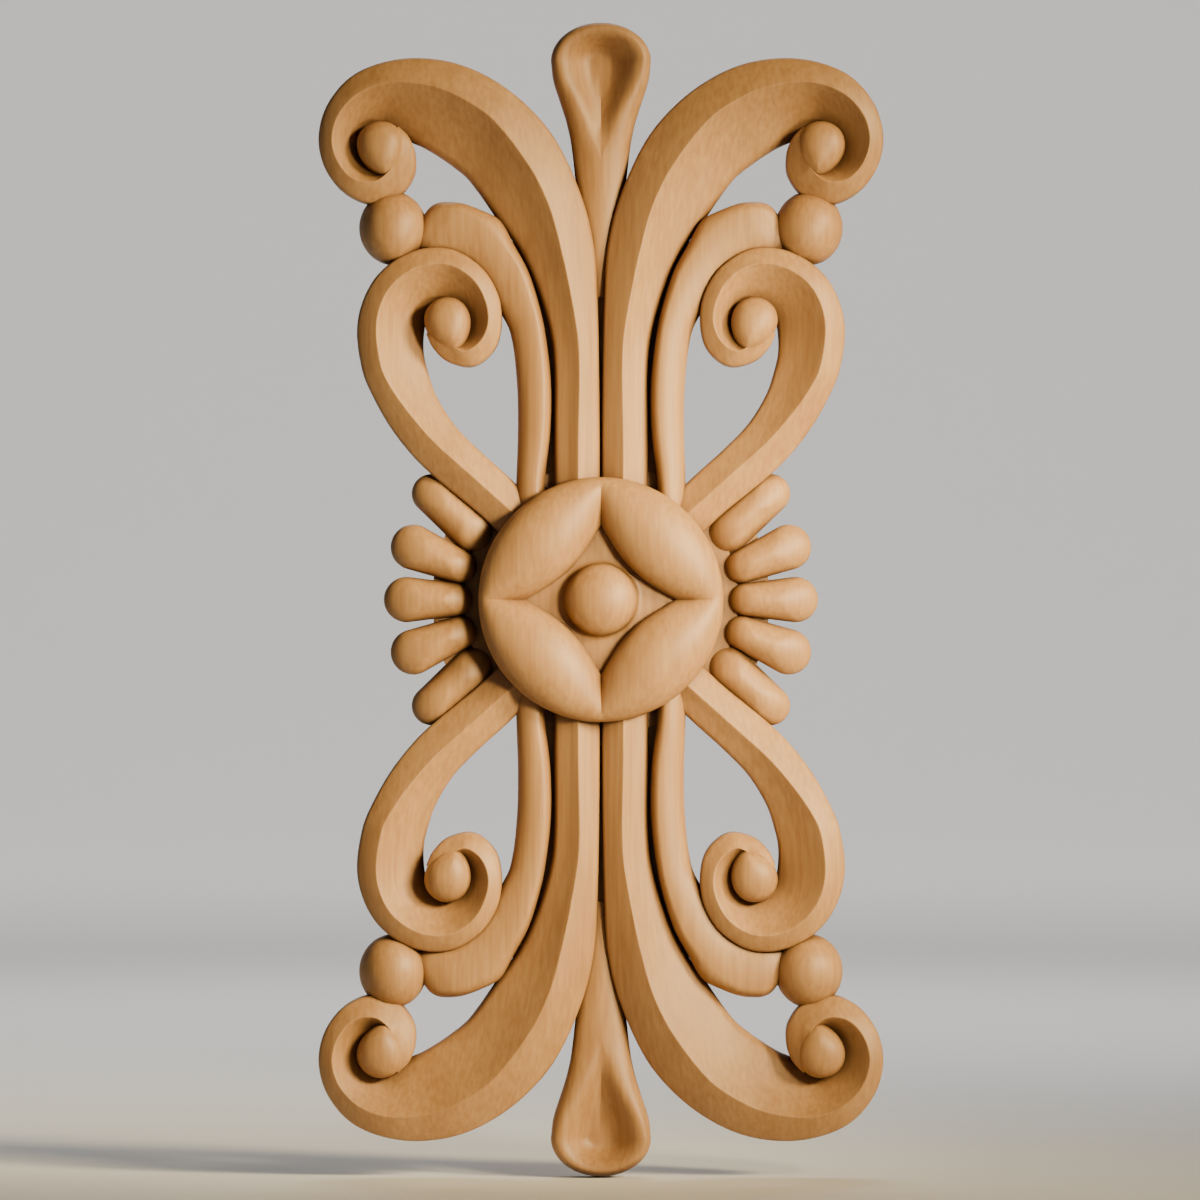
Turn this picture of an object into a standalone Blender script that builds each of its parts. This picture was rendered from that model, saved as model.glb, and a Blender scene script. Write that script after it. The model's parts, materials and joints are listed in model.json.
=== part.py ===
"""Carved scroll onlay, an upright wall ornament cut from one board of wood.

Units are metres and +Z is up. The flat back lies in the plane y = 0, the carving
faces -Y, and the origin is the middle of the back. One quarter of the scrollwork is
modelled and mirrored across the upright and the level middle lines.
"""

import math

import bmesh
import bpy
from mathutils import Vector

# Whole ornament
HEIGHT = 0.300

# Heights above the flat back, each built on the one that it stands on
FAN_PLATE_DEPTH = 0.0042
BASE_DEPTH = 0.0050
GROOVE_FLOOR_DEPTH = 0.0040
SPINE_DEPTH = 0.0055
BIG_CREST_DEPTH = 0.0145
SMALL_CREST_DEPTH = 0.0135
LEAF_CREST_DEPTH = 0.0110
FINIAL_CREST_DEPTH = 0.0102
LOBE_SKIRT = 0.0010
LOBE_RISE = 0.0042
BALL_SKIRT_DEPTH = 0.0052
EYE_RISE = 0.0055
RIM_STEP = 0.0009
FIELD_SINK = 0.0012
PETAL_RISE = 0.0075
BEAD_RISE = 0.0078

# Rosette in the middle, from the bead outwards
BEAD_RADIUS = 0.0095
BEAD_GAP = 0.0017
DIAMOND_POINT_REACH = 0.0083
CREASE_LENGTH = 0.0123
CREASE_FULLNESS = 0.45
BASE_MARGIN = 0.0038
DIAMOND_WAIST = BEAD_RADIUS + BEAD_GAP
DIAMOND_POINT = DIAMOND_WAIST + DIAMOND_POINT_REACH
ROSETTE_RADIUS = DIAMOND_POINT + CREASE_LENGTH

# Fan of lobes on each side, counted from the level middle line
LOBE_ROWS = 3
LOBE_GAP = 0.0016
LOBE_LENGTH = 0.0231
LOBE_INNER_WIDTH = 0.0088
LOBE_OUTER_WIDTH = 0.0120
LOBE_INNER_STEP = math.radians(11.8)
LOBE_OUTER_STEP = math.radians(16.4)
LOBE_FULLNESS = 2.6
FAN_PLATE_REACH = 0.0105
FAN_PLATE_HALF_ANGLE = math.radians(27.0)

# Balls and scroll eyes
BALL_WIDTH = 0.0176
BALL_HEIGHT = 0.0190
BIG_EYE_WIDTH = 0.0117
BIG_EYE_LENGTH = 0.0139
BIG_EYE_TILT = math.radians(-96.0)
SMALL_EYE_WIDTH = 0.0120
SMALL_EYE_LENGTH = 0.0136
SMALL_EYE_TILT = math.radians(-104.0)
EYE_SKIRT_SHARE = 0.66
EYE_POINT = 0.35

# Slope of the outer band of both scrolls
BAND_SLOPE = math.tan(math.radians(32.0))

# How far below the rosette's rim the stems take root, as shares of its radius
STEM_ROOT = 0.65
LEAF_ROOT = 0.70
SMALL_ROOT = 0.85
SMALL_ROOT_ANGLES = (math.radians(31.5), math.radians(45.2), math.radians(57.2))

# Free form of the scrollwork, in thousandths of HEIGHT, measured from the middle.
# Each station of a scroll gives its outer edge, its crest line and its inner edge as
# (x, z), then the crest and the inner edge as shares of that scroll's crest depth.
BIG_RUN = (
    ((1.0, 138.4), (19.5, 138.4), (40.6, 138.4), 0.80, 0.56),
    ((1.8, 216.4), (19.0, 216.4), (41.7, 216.4), 0.83, 0.56),
    ((2.9, 259.8), (25.2, 259.8), (52.1, 259.8), 0.88, 0.52),
    ((5.5, 303.1), (34.3, 303.1), (70.3, 301.4), 0.94, 0.46),
    ((15.7, 346.5), (45.2, 341.3), (88.5, 327.4), 0.98, 0.42),
    ((39.3, 398.5), (61.6, 374.2), (114.5, 363.8), 1.00, 0.38),
    ((68.6, 432.3), (91.1, 416.7), (131.0, 377.7), 1.00, 0.36),
    ((103.3, 455.9), (118.9, 435.3), (146.6, 388.1), 0.99, 0.36),
    ((137.9, 467.3), (144.9, 445.5), (157.9, 394.1), 0.97, 0.34),
)
SMALL_RUN = (
    ((106.7, 75.1), (92.0, 89.4), (79.9, 106.3), 0.84, 0.60),
    ((137.9, 100.6), (121.5, 115.8), (106.7, 130.6), 0.86, 0.58),
    ((160.1, 121.0), (144.9, 137.1), (127.5, 152.2), 0.89, 0.54),
    ((181.0, 147.0), (164.8, 160.0), (143.1, 177.4), 0.93, 0.48),
    ((196.2, 173.1), (180.4, 181.7), (150.1, 197.3), 0.97, 0.42),
    ((206.9, 199.1), (190.0, 201.7), (154.0, 216.4), 1.00, 0.38),
)

# Each volute turns about its eye in equal steps. Its rows give the radius of the
# outer edge, the radius of the crest line and the crest's share of the depth.
VOLUTE_STEP = math.radians(30.0)
BIG_EYE_PLACE = (190.4, 391.5)
BIG_VOLUTE_START = math.radians(100.0)
BIG_VOLUTE = (
    (78.3, 58.5, 0.96), (68.8, 51.8, 0.95), (60.5, 47.1, 0.94), (54.9, 42.7, 0.93),
    (51.9, 39.0, 0.92), (50.5, 36.1, 0.90), (49.6, 30.3, 0.87), (44.5, 24.6, 0.82),
    (37.3, 21.5, 0.78), (30.0, 19.1, 0.74), (25.8, 16.5, 0.70), (23.7, 13.9, 0.66),
)
SMALL_EYE_PLACE = (132.7, 240.7)
SMALL_VOLUTE_START = math.radians(0.0)
SMALL_VOLUTE = (
    (78.1, 61.1, 1.00), (73.5, 57.7, 1.00), (68.8, 53.6, 0.99), (63.9, 49.5, 0.98),
    (58.1, 43.8, 0.97), (51.4, 38.1, 0.95), (47.4, 35.4, 0.93), (49.1, 33.3, 0.91),
    (45.0, 28.6, 0.88), (35.5, 21.9, 0.83), (24.3, 17.3, 0.78), (20.6, 14.7, 0.74),
)
VOLUTE_CORE = 9.0
VOLUTE_CORE_DEPTH = 0.30

# Leaf between the two scrolls: outer edge, soft crest and inner edge
LEAF_RUN = (
    ((48.6, 103.7), (56.3, 103.7), (73.3, 103.7)),
    ((43.7, 147.0), (51.5, 147.0), (72.0, 147.0)),
    ((43.4, 190.4), (50.8, 190.4), (72.9, 188.7)),
    ((48.6, 233.7), (54.7, 233.7), (78.6, 231.1)),
    ((54.7, 259.8), (61.6, 259.8), (89.4, 252.8)),
    ((63.4, 285.8), (71.6, 285.8), (102.4, 274.5)),
    ((75.5, 307.9), (85.1, 305.7), (116.3, 289.2)),
    ((87.4, 328.6), (99.8, 321.3), (131.0, 296.2)),
    ((103.3, 337.4), (113.7, 331.7), (141.4, 297.9)),
    ((120.6, 343.6), (127.5, 336.9), (151.8, 299.6)),
    ((137.9, 344.7), (141.4, 336.9), (159.6, 303.1)),
    ((147.0, 341.4), (149.5, 333.5), (163.0, 307.0)),
    ((153.5, 334.0), (157.0, 327.5), (165.7, 311.8)),
)
LEAF_EDGE_SHARE = 0.66
LEAF_SHOULDER_SHARE = 0.92
LEAF_SHOULDER_PLACE = 0.5
BALL_PLACE = (180.4, 322.2)

# Floor of the groove between the big scroll and the leaf
GROOVE_WIDTH = 10.0
GROOVE_TOP = 310.0

# Finial, from behind the tall scrolls to the widest place of its spoon: height, half
# width, place of the rim crest between the middle line (0) and the edge (1), and the
# depths of the crest and of the edge as shares of the finial's crest depth
FINIAL_SIDE = (
    (262.0, 7.0, 0.00, 0.62, 0.54),
    (300.0, 12.0, 0.00, 0.68, 0.54),
    (340.0, 19.0, 0.00, 0.76, 0.55),
    (368.0, 22.6, 0.00, 0.84, 0.58),
    (383.5, 24.2, 0.03, 0.90, 0.61),
    (398.5, 26.4, 0.34, 0.94, 0.64),
    (415.8, 30.4, 0.50, 0.97, 0.68),
    (433.2, 36.0, 0.62, 0.99, 0.72),
    (450.5, 41.4, 0.76, 1.00, 0.77),
    (466.5, 42.6, 0.86, 1.00, 0.80),
)
FINIAL_TIP = 500.0
FINIAL_FLOOR_SHARE = 0.56
FINIAL_SIDE_PLACE = 0.5
FINIAL_SIDE_CLIMB = 0.35
SPINE_HALF_WIDTH = 15.0

# Fineness of the curves
RUN_STEPS = 2
VOLUTE_STEPS = 2
ROUND_SIDES = 18
EYE_SIDES = 16
LOBE_SIDES = 16
DOME_RINGS = 4
LOBE_RINGS = 3
FINIAL_TIP_STEPS = 10
DISC_SIDES = 48
ROSETTE_SIDES = 40
PETAL_RINGS = 6

# Edges sharper than this stay crisp
SHARP_ANGLE = math.radians(28.0)

# Corners closer than these are one, in a form and in the finished piece, and faces
# within this angle are one flat
MERGE_DISTANCE = 0.0000001
WELD_DISTANCE = 0.00002
FLAT_ANGLE = math.radians(0.5)

WOOD_COLOUR = (0.62, 0.37, 0.19, 1.0)
WOOD_ROUGHNESS = 0.55


def share(thousandths):
    """A length given in thousandths of the ornament's height."""
    return thousandths * HEIGHT / 1000.0


def place(point):
    """A point of the free form, in metres."""
    return (share(point[0]), share(point[1]))


def polar(centre, radius, angle):
    """The point at a radius and an angle about a centre."""
    return (centre[0] + radius * math.cos(angle), centre[1] + radius * math.sin(angle))


def blend(start, end, amount):
    """The value part of the way from start to end."""
    return start + (end - start) * amount


def distance(first, second):
    """The distance in plan between two points."""
    return math.hypot(second[0] - first[0], second[1] - first[1])


def at(point, depth):
    """The corner that stands the given depth in front of the back."""
    return Vector((point[0], -depth, point[1]))


def clear_scene():
    """Remove what is in the scene already."""
    for item in list(bpy.data.objects):
        bpy.data.objects.remove(item, do_unlink=True)


def new_collection(name):
    """A collection linked to the scene."""
    collection = bpy.data.collections.new(name)
    bpy.context.scene.collection.children.link(collection)
    return collection


def object_from(mesh_builder, name, collection):
    """Turn a finished bmesh into an object whose faces point outwards."""
    bmesh.ops.remove_doubles(mesh_builder, verts=mesh_builder.verts, dist=MERGE_DISTANCE)
    bmesh.ops.dissolve_degenerate(mesh_builder, edges=mesh_builder.edges, dist=MERGE_DISTANCE)
    bmesh.ops.triangulate(mesh_builder, faces=mesh_builder.faces)
    bmesh.ops.recalc_face_normals(mesh_builder, faces=mesh_builder.faces)
    mesh = bpy.data.meshes.new(name)
    mesh_builder.to_mesh(mesh)
    mesh_builder.free()
    mesh.shade_smooth()
    mesh.set_sharp_from_angle(angle=SHARP_ANGLE)
    item = bpy.data.objects.new(name, mesh)
    collection.objects.link(item)
    return item


def skin(name, rings, collection, run_together=False):
    """Join rings of corners that follow one another into a closed solid.

    The first and last rings are capped, but a last ring whose corners have run
    together in one point or on one line needs no cap.
    """
    builder = bmesh.new()
    rows = [[builder.verts.new(corner) for corner in ring] for ring in rings]
    for lower, upper in zip(rows, rows[1:]):
        for index in range(len(lower)):
            following = (index + 1) % len(lower)
            builder.faces.new((lower[index], lower[following], upper[following], upper[index]))
    builder.faces.new(rows[0])
    if not run_together:
        builder.faces.new(rows[-1])
    return object_from(builder, name, collection)


def mirror(item, across_x=True, across_z=True):
    """Repeat a piece across the upright and the level middle lines."""
    modifier = item.modifiers.new("Mirror", "MIRROR")
    modifier.use_axis = (across_x, False, across_z)
    modifier.use_mirror_merge = False
    modifier.merge_threshold = WELD_DISTANCE


def smooth_rows(rows, knots, steps):
    """Pass a smooth curve through rows of numbers that belong to rising knots."""
    slopes = []
    last = len(rows) - 1
    for index in range(len(rows)):
        before = max(index - 1, 0)
        after = min(index + 1, last)
        span = knots[after] - knots[before]
        slopes.append([(b - a) / span for a, b in zip(rows[before], rows[after])])
    result = []
    for index in range(last):
        span = knots[index + 1] - knots[index]
        for step in range(steps[index]):
            t = step / steps[index]
            h00 = (1 + 2 * t) * (1 - t) ** 2
            h10 = t * (1 - t) ** 2
            h01 = t * t * (3 - 2 * t)
            h11 = t * t * (t - 1)
            result.append([
                h00 * a + h10 * span * m + h01 * b + h11 * span * n
                for a, b, m, n in zip(rows[index], rows[index + 1], slopes[index], slopes[index + 1])
            ])
    result.append(list(rows[last]))
    return result


def scroll_section(row):
    """The corners across a scroll, from its outer edge over the crest to its inner edge."""
    outer, crest, inner = (row[0], row[1]), (row[2], row[3]), (row[4], row[5])
    crest_depth, inner_depth = row[6], row[7]
    outer_depth = crest_depth - distance(outer, crest) * BAND_SLOPE
    return (
        at(outer, 0.0), at(outer, outer_depth), at(crest, crest_depth),
        at(inner, inner_depth), at(inner, 0.0),
    )


def station_row(outer, crest, inner, crest_depth, inner_depth):
    """One station of a scroll as a flat row of numbers."""
    return (*outer, *crest, *inner, crest_depth, inner_depth)


def run_rows(run, full_depth):
    """The stations of the stretch between the rosette and the volute."""
    return [
        station_row(place(outer), place(crest), place(inner),
                    crest_share * full_depth, inner_share * full_depth)
        for outer, crest, inner, crest_share, inner_share in run
    ]


def volute_rows(volute, centre, start, turn, full_depth):
    """The stations of a volute, one for each step about its eye."""
    rows = []
    for index, (outer_radius, crest_radius, crest_share) in enumerate(volute):
        angle = start + turn * index * VOLUTE_STEP
        rows.append(station_row(
            polar(centre, share(outer_radius), angle),
            polar(centre, share(crest_radius), angle),
            polar(centre, share(VOLUTE_CORE), angle),
            crest_share * full_depth,
            VOLUTE_CORE_DEPTH * full_depth,
        ))
    return rows


def make_scroll(name, root, run, volute, full_depth, eye, collection):
    """Loft a scroll through its root, its run and its volute, and join its eye to it."""
    rows = [root] + run + volute
    knots = [0.0]
    for before, after in zip(rows, rows[1:]):
        knots.append(knots[-1] + distance(before[2:4], after[2:4]))
    steps = [1] + [RUN_STEPS] * len(run) + [VOLUTE_STEPS] * (len(volute) - 1)
    sections = [scroll_section(row) for row in smooth_rows(rows, knots, steps)]
    scroll = skin(name, sections, collection)
    join(scroll, eye, overlaps_itself=True)
    mirror(scroll)
    return scroll


def join(item, other, overlaps_itself=False):
    """Join another solid to an object with a Boolean union."""
    modifier = item.modifiers.new("Join", "BOOLEAN")
    modifier.operation = "UNION"
    modifier.solver = "EXACT"
    modifier.use_self = overlaps_itself
    modifier.object = other


def dome(name, outline, spine, skirt, top, rings, collection, fullness=2.0):
    """Raise a rounded solid over an outline, with an upright skirt below the dome.

    Every outline corner draws in towards its own spine point as the dome rises, so a
    round or a long form both close without a flat top. A fullness of 2 is a round
    dome, and more has steeper sides and a flatter top.
    """
    layers = [[at(point, 0.0) for point in outline], [at(point, skirt) for point in outline]]
    for ring in range(1, rings + 1):
        rise = math.radians(90.0) * ring / rings
        depth = skirt + (top - skirt) * math.sin(rise) ** (2.0 / fullness)
        width = math.cos(rise) ** (2.0 / fullness) if ring < rings else 0.0
        layers.append([
            at((blend(middle[0], point[0], width), blend(middle[1], point[1], width)), depth)
            for point, middle in zip(outline, spine)
        ])
    return skin(name, layers, collection, run_together=True)


def ellipse(centre, width, height, sides):
    """Outline of an ellipse."""
    points = []
    for index in range(sides):
        angle = 2 * math.pi * index / sides
        points.append((
            centre[0] + width / 2 * math.cos(angle),
            centre[1] + height / 2 * math.sin(angle),
        ))
    return points


def teardrop(centre, width, length, direction, sides):
    """Outline of an egg drawn out to a point in the given direction."""
    along = (math.cos(direction), math.sin(direction))
    widest = max(
        math.sin(t) * math.sin(t / 2) ** EYE_POINT
        for t in (math.pi * step / sides for step in range(sides))
    )
    points = []
    for index in range(sides):
        t = 2 * math.pi * index / sides
        forward = length / 2 * math.cos(t)
        sideways = width / 2 * math.sin(t) * math.sin(t / 2) ** EYE_POINT / widest
        points.append((
            centre[0] + forward * along[0] - sideways * along[1],
            centre[1] + forward * along[1] + sideways * along[0],
        ))
    return points


def make_eye(name, centre, width, length, tilt, crest_depth, collection):
    """The egg that closes a volute."""
    outline = teardrop(centre, width, length, tilt, EYE_SIDES)
    skirt = crest_depth * EYE_SKIRT_SHARE
    return dome(name, outline, [centre] * len(outline), skirt, skirt + EYE_RISE, DOME_RINGS, collection)


def make_big_scroll(collection, helpers):
    """The tall scroll that opens outwards below the finial."""
    centre = place(BIG_EYE_PLACE)
    eye = make_eye("big_eye", centre, BIG_EYE_WIDTH, BIG_EYE_LENGTH, BIG_EYE_TILT, BIG_CREST_DEPTH, helpers)
    run = run_rows(BIG_RUN, BIG_CREST_DEPTH)
    root = list(run[0])
    for index in (1, 3, 5):
        root[index] = ROSETTE_RADIUS * STEM_ROOT
    volute = volute_rows(BIG_VOLUTE, centre, BIG_VOLUTE_START, -1, BIG_CREST_DEPTH)
    return make_scroll("big_scroll", tuple(root), run, volute, BIG_CREST_DEPTH, eye, collection)


def make_small_scroll(collection, helpers):
    """The lower scroll that curls back towards the middle line."""
    centre = place(SMALL_EYE_PLACE)
    eye = make_eye("small_eye", centre, SMALL_EYE_WIDTH, SMALL_EYE_LENGTH, SMALL_EYE_TILT,
                   SMALL_CREST_DEPTH, helpers)
    run = run_rows(SMALL_RUN, SMALL_CREST_DEPTH)
    reach = ROSETTE_RADIUS * SMALL_ROOT
    outer, crest, inner = (polar((0.0, 0.0), reach, angle) for angle in SMALL_ROOT_ANGLES)
    root = station_row(outer, crest, inner, run[0][6], run[0][7])
    volute = volute_rows(SMALL_VOLUTE, centre, SMALL_VOLUTE_START, 1, SMALL_CREST_DEPTH)
    return make_scroll("small_scroll", root, run, volute, SMALL_CREST_DEPTH, eye, collection)


def leaf_rows():
    """The stations of the leaf, from its root under the rosette to its tip at the ball."""
    rows = [(*place(outer), *place(crest), *place(inner)) for outer, crest, inner in LEAF_RUN]
    root = list(rows[0])
    for index in (1, 3, 5):
        root[index] = ROSETTE_RADIUS * LEAF_ROOT
    rows.insert(0, tuple(root))
    knots = [0.0]
    for before, after in zip(rows, rows[1:]):
        knots.append(knots[-1] + distance(before[2:4], after[2:4]))
    return smooth_rows(rows, knots, [1] + [RUN_STEPS] * (len(rows) - 2))


def make_leaf(collection):
    """The soft-crested leaf that fills the space between the two scrolls."""
    edge_depth = LEAF_CREST_DEPTH * LEAF_EDGE_SHARE
    shoulder_depth = LEAF_CREST_DEPTH * LEAF_SHOULDER_SHARE
    sections = []
    for row in leaf_rows():
        outer, crest, inner = row[0:2], row[2:4], row[4:6]
        shoulder = (blend(crest[0], inner[0], LEAF_SHOULDER_PLACE),
                    blend(crest[1], inner[1], LEAF_SHOULDER_PLACE))
        sections.append((
            at(outer, 0.0), at(outer, edge_depth), at(crest, LEAF_CREST_DEPTH),
            at(shoulder, shoulder_depth), at(inner, edge_depth), at(inner, 0.0),
        ))
    leaf = skin("leaf", sections, collection)
    mirror(leaf)
    return leaf


def make_groove_floor(collection):
    """The thin floor of the groove between the big scroll and the leaf."""
    sections = []
    for row in leaf_rows():
        outer, crest = row[0:2], row[2:4]
        if crest[1] > share(GROOVE_TOP):
            break
        outside = (outer[0] - share(GROOVE_WIDTH), outer[1])
        sections.append((
            at(outside, 0.0), at(outside, GROOVE_FLOOR_DEPTH),
            at(crest, GROOVE_FLOOR_DEPTH), at(crest, 0.0),
        ))
    floor = skin("groove_floor", sections, collection)
    mirror(floor)
    return floor


def make_ball(collection):
    """The ball between the two scrolls."""
    centre = place(BALL_PLACE)
    outline = ellipse(centre, BALL_WIDTH, BALL_HEIGHT, ROUND_SIDES)
    top = BALL_SKIRT_DEPTH + BALL_WIDTH / 2
    ball = dome("ball", outline, [centre] * len(outline), BALL_SKIRT_DEPTH, top, DOME_RINGS, collection)
    mirror(ball)
    return ball


def make_lobe(name, row, collection):
    """One lobe of the fan, a tapered round-ended form that points away from the rosette."""
    middle = (0.0, 0.0)
    inner_radius = LOBE_INNER_WIDTH / 2
    outer_radius = LOBE_OUTER_WIDTH / 2
    first = ROSETTE_RADIUS + LOBE_GAP
    inner_tip = polar(middle, first, row * LOBE_INNER_STEP)
    outer_tip = polar(middle, first + LOBE_LENGTH, row * LOBE_OUTER_STEP)
    length = distance(inner_tip, outer_tip)
    along = math.atan2(outer_tip[1] - inner_tip[1], outer_tip[0] - inner_tip[0])
    inner_centre = polar(inner_tip, inner_radius, along)
    outer_centre = polar(outer_tip, -outer_radius, along)
    taper = math.asin((outer_radius - inner_radius) / (length - inner_radius - outer_radius))
    outline = []
    spine = []
    half = LOBE_SIDES // 2
    for index in range(half + 1):
        angle = blend(-math.radians(90.0) - taper, math.radians(90.0) + taper, index / half)
        outline.append(polar(outer_centre, outer_radius, along + angle))
        spine.append(outer_centre)
    for index in range(half - 1):
        angle = blend(math.radians(90.0) + taper, math.radians(270.0) - taper, index / (half - 2))
        outline.append(polar(inner_centre, inner_radius, along + angle))
        spine.append(inner_centre)
    skirt = FAN_PLATE_DEPTH + LOBE_SKIRT
    lobe = dome(name, outline, spine, skirt, skirt + LOBE_RISE, LOBE_RINGS, collection, LOBE_FULLNESS)
    mirror(lobe, across_z=row > 0)
    return lobe


def make_fan_plate(collection):
    """The thin plate that carries the lobes on each side."""
    middle = (0.0, 0.0)
    reach = ROSETTE_RADIUS + LOBE_GAP + FAN_PLATE_REACH
    sides = DISC_SIDES // 4
    outline = [
        polar(middle, ROSETTE_RADIUS / 2, FAN_PLATE_HALF_ANGLE),
        polar(middle, ROSETTE_RADIUS / 2, -FAN_PLATE_HALF_ANGLE),
    ]
    for index in range(sides + 1):
        angle = blend(-FAN_PLATE_HALF_ANGLE, FAN_PLATE_HALF_ANGLE, index / sides)
        outline.append(polar(middle, reach, angle))
    plate = skin("fan_plate", [[at(point, 0.0) for point in outline],
                               [at(point, FAN_PLATE_DEPTH) for point in outline]], collection)
    mirror(plate, across_z=False)
    return plate


def finial_side():
    """One side of the finial's outline, with the spine point and the shares of each corner."""
    knots = [row[0] for row in FINIAL_SIDE]
    side = []
    for height, half_width, crest, crest_share, edge_share in smooth_rows(
            FINIAL_SIDE, knots, [RUN_STEPS] * (len(knots) - 1)):
        side.append(((half_width, height), (0.0, height), max(crest, 0.0), crest_share, edge_share))
    base_height, half_width, crest, crest_share, edge_share = FINIAL_SIDE[-1]
    for index in range(1, FINIAL_TIP_STEPS + 1):
        angle = math.radians(90.0) * index / FINIAL_TIP_STEPS
        corner = (
            half_width * math.cos(angle),
            base_height + (FINIAL_TIP - base_height) * math.sin(angle),
        )
        side.append((corner, (0.0, base_height), crest, crest_share, edge_share))
    return side


def make_finial(collection):
    """The hollow spoon on the middle line, with a rim that runs together into one ridge."""
    right = finial_side()
    left = [((-corner[0], corner[1]), *rest) for corner, *rest in right[-2::-1]]
    layers = [[], [], [], [], []]
    for corner, middle, crest, crest_share, edge_share in right + left:
        opening = min(1.0, crest / FINIAL_SIDE[-1][2])
        crest_depth = FINIAL_CREST_DEPTH * crest_share
        floor_depth = crest_depth * blend(1.0, FINIAL_FLOOR_SHARE, opening)
        edge, centre = place(corner), place(middle)
        rim = (blend(centre[0], edge[0], crest), blend(centre[1], edge[1], crest))
        side = (blend(centre[0], rim[0], FINIAL_SIDE_PLACE), blend(centre[1], rim[1], FINIAL_SIDE_PLACE))
        layers[0].append(at(edge, 0.0))
        layers[1].append(at(edge, FINIAL_CREST_DEPTH * edge_share))
        layers[2].append(at(rim, crest_depth))
        layers[3].append(at(side, blend(floor_depth, crest_depth, FINIAL_SIDE_CLIMB)))
        layers[4].append(at(centre, floor_depth))
    finial = skin("finial", layers, collection, run_together=True)
    mirror(finial, across_x=False)
    return finial


def make_spine(collection):
    """The bar behind the tall scrolls that ties both finials to the rosette."""
    width = share(SPINE_HALF_WIDTH)
    top = share(FINIAL_SIDE[2][0])
    outline = ((-width, -top), (width, -top), (width, top), (-width, top))
    return skin("spine", [[at(point, 0.0) for point in outline],
                          [at(point, SPINE_DEPTH) for point in outline]], collection)


def make_disc(name, radius, depth, collection):
    """A flat round disc on the back plane."""
    outline = ellipse((0.0, 0.0), 2 * radius, 2 * radius, DISC_SIDES)
    return skin(name, [[at(point, 0.0) for point in outline],
                       [at(point, depth) for point in outline]], collection)


def diamond_radius(angle):
    """Distance from the middle to the hollowed side of the diamond at an angle."""
    lean = (abs(math.cos(angle)) + abs(math.sin(angle)) - 1.0) / (math.sqrt(2.0) - 1.0)
    return 1.0 / blend(1.0 / DIAMOND_POINT, 1.0 / DIAMOND_WAIST, lean)


def petal_fullness(angle):
    """How full a petal stands at an angle: 1 on its long middle, least at the crease."""
    off_middle = (angle % math.radians(90.0)) / math.radians(45.0) - 1.0
    return math.sqrt(1.0 - (1.0 - CREASE_FULLNESS ** 2) * off_middle ** 2)


def make_rosette(name, collection):
    """The disc with four pillowed petals round a sunk diamond, and the bead in it."""
    middle = (0.0, 0.0)
    angles = [2 * math.pi * index / ROSETTE_SIDES for index in range(ROSETTE_SIDES)]
    rim_depth = BIG_CREST_DEPTH * BIG_RUN[0][3] + RIM_STEP
    field_depth = rim_depth - FIELD_SINK
    layers = [[at(polar(middle, ROSETTE_RADIUS, angle), 0.0) for angle in angles]]
    for ring in range(PETAL_RINGS + 1):
        turn = math.pi * ring / PETAL_RINGS
        inward = (1.0 - math.cos(turn)) / 2
        layer = []
        for angle in angles:
            radius = blend(ROSETTE_RADIUS, diamond_radius(angle), inward)
            rise = PETAL_RISE * petal_fullness(angle) * math.sin(turn)
            layer.append(at(polar(middle, radius, angle), rim_depth + rise))
        layers.append(layer)
    layers.append([at(polar(middle, diamond_radius(angle), angle), field_depth) for angle in angles])
    for ring in range(DOME_RINGS + 1):
        climb = math.radians(90.0) * ring / DOME_RINGS
        radius = BEAD_RADIUS * math.cos(climb) if ring < DOME_RINGS else 0.0
        depth = field_depth + BEAD_RISE * math.sin(climb)
        layers.append([at(polar(middle, radius, angle), depth) for angle in angles])
    return skin(name, layers, collection, run_together=True)


def make_material():
    """Warm pale wood."""
    material = bpy.data.materials.new("carved_wood")
    material.use_nodes = True
    shader = material.node_tree.nodes["Principled BSDF"]
    shader.inputs["Base Color"].default_value = WOOD_COLOUR
    shader.inputs["Roughness"].default_value = WOOD_ROUGHNESS
    shader.inputs["Metallic"].default_value = 0.0
    return material


def build():
    """Make every form of the carving and join them into one piece of wood."""
    clear_scene()
    ornament = new_collection("scroll_onlay")
    forms = new_collection("carved_forms")
    helpers = new_collection("volute_eyes")

    make_big_scroll(forms, helpers)
    make_small_scroll(forms, helpers)
    make_leaf(forms)
    make_groove_floor(forms)
    make_ball(forms)
    for row in range(LOBE_ROWS):
        make_lobe("lobe_%d" % row, row, forms)
    make_fan_plate(forms)
    make_finial(forms)
    make_spine(forms)
    make_disc("base_disc", ROSETTE_RADIUS + BASE_MARGIN, BASE_DEPTH, forms)
    for item in list(forms.objects) + list(helpers.objects):
        item.hide_render = True
        item.display_type = "WIRE"

    onlay = make_rosette("scroll_onlay", ornament)
    onlay.data.materials.append(make_material())
    union = onlay.modifiers.new("Carve", "BOOLEAN")
    union.operation = "UNION"
    union.solver = "EXACT"
    union.operand_type = "COLLECTION"
    union.collection = forms
    weld = onlay.modifiers.new("Weld", "WELD")
    weld.merge_threshold = WELD_DISTANCE
    flats = onlay.modifiers.new("Clear flats", "DECIMATE")
    flats.decimate_type = "DISSOLVE"
    flats.angle_limit = FLAT_ANGLE


build()
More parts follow.
